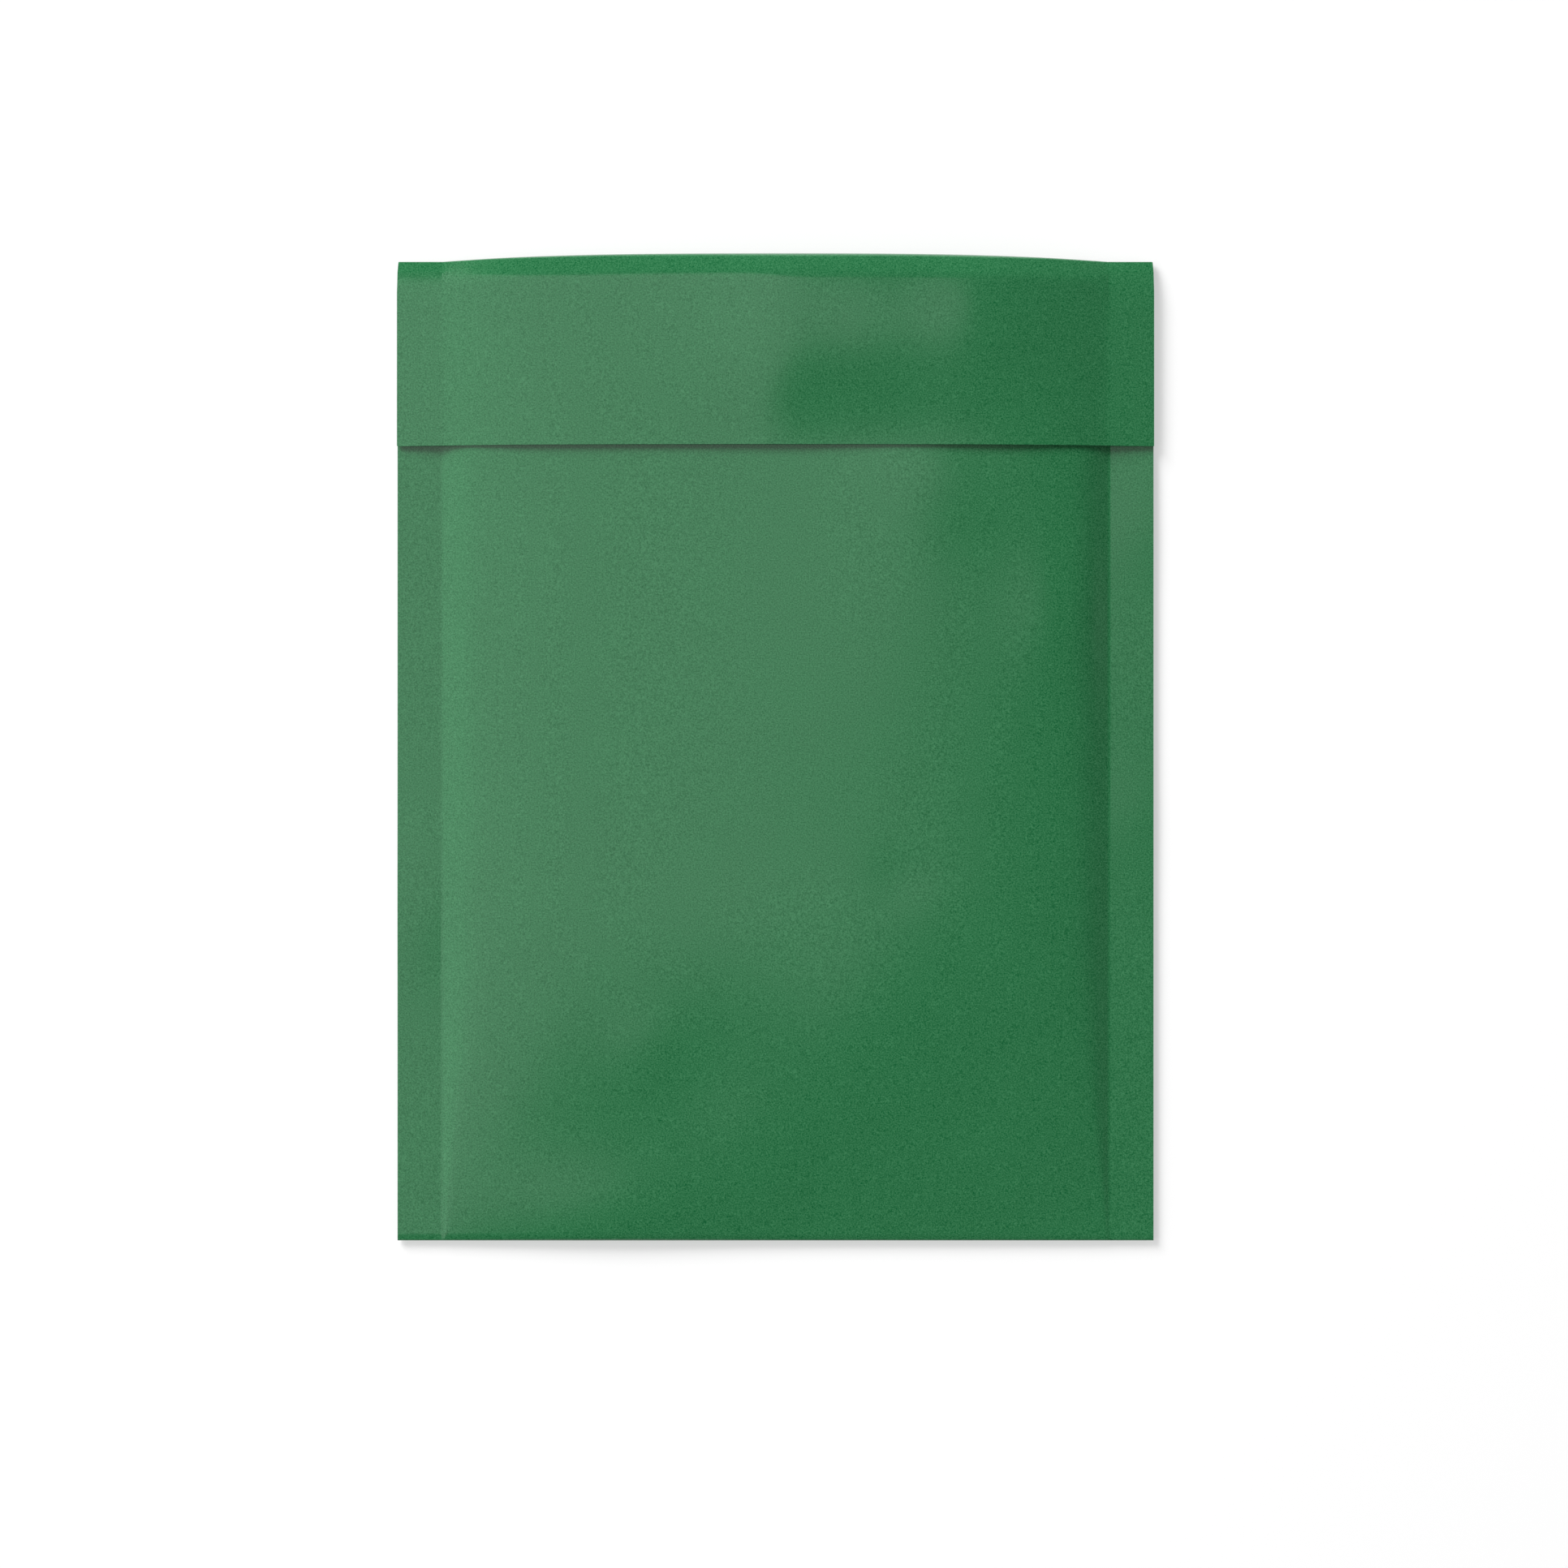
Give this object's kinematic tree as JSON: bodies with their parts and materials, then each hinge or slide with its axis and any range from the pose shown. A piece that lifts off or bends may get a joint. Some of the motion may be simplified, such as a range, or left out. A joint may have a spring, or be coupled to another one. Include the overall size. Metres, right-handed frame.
{
  "type": "padded envelope",
  "caption": "Shut padded paper envelope, lying on its back: puffed body, flat pressed side seams, and a flap folded over the front and stuck down.",
  "frame": {"origin": "middle of the envelope's box in plan, on the surface that its back lies on", "axes": "+X to the right across the front, +Y from the bottom fold towards the flap's fold, +Z out of the front"},
  "size_m": [0.17, 0.2218, 0.0067],
  "materials": {
    "green_paper": "smooth green paper with a faint grain and a soft satin sheen"
  },
  "bodies": {
    "root": {"padded_envelope": "green_paper"}
  },
  "joints": []
}
